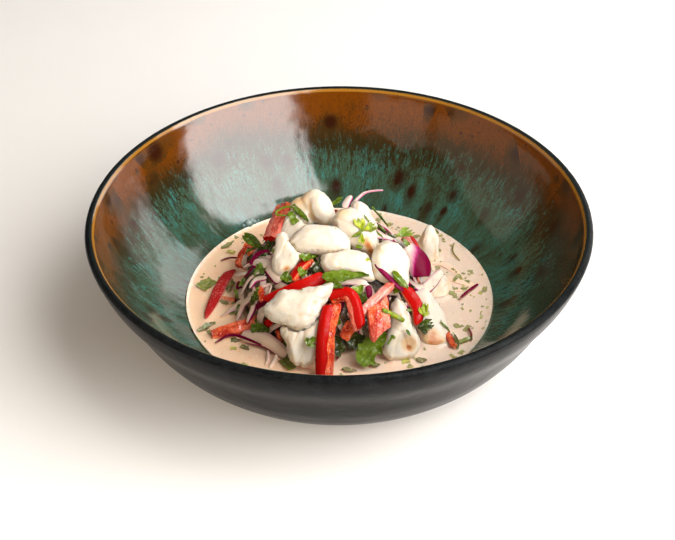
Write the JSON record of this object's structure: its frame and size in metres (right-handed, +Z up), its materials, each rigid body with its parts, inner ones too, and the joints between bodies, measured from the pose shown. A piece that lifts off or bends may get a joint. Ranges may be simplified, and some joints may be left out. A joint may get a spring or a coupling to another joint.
{
  "type": "ceviche",
  "caption": "Wide round stoneware bowl of ceviche: white fish chunks, red pepper strips, red onion petals and herbs heaped in a shallow cream-coloured broth.",
  "frame": {"origin": "on the table under the middle of the bowl's foot ring", "axes": "+Z up along the bowl's axis, -Y towards the front of the dish, +X to its right"},
  "size_m": [0.2416, 0.2416, 0.068],
  "materials": {
    "glaze": "glossy reactive glaze, amber at the rim, teal and olive below, black outside",
    "broth": "wet, cream-coloured and opaque",
    "salad": "moist heap of sliced onion, pepper and leaves",
    "fish": "moist, flaky",
    "pepper": "glossy skin, moist flesh",
    "onion": "glossy and translucent"
  },
  "bodies": {
    "root": {"bowl": "glaze", "broth": "broth", "salad": "salad", "fish_top": "fish", "fish_oval": "fish", "fish_back_shard": "fish", "fish_upper_right": "fish", "fish_right": "fish", "fish_middle": "fish", "fish_left_upper": "fish", "fish_left_flake": "fish", "fish_front": "fish", "fish_front_low": "fish", "fish_rear_shard": "fish", "fish_half_sunk": "fish", "fish_right_low": "fish", "fish_right_long": "fish", "fish_rear_left": "fish", "fish_rear_middle": "fish", "fish_rear_right": "fish", "pepper_front": "pepper", "pepper_arch": "pepper", "pepper_bar": "pepper", "pepper_sliver": "pepper", "pepper_block": "pepper", "pepper_wide": "pepper", "pepper_pink": "pepper", "pepper_hook": "pepper", "pepper_rear": "pepper", "pepper_dark": "pepper", "pepper_afloat": "pepper", "pepper_left": "pepper", "pepper_behind": "pepper", "pepper_back_low": "pepper", "pepper_back_right": "pepper", "onion_petal": "onion", "onion_crescent": "onion", "onion_left_arc": "onion", "onion_left_slice": "onion", "onion_behind": "onion"}
  },
  "joints": []
}
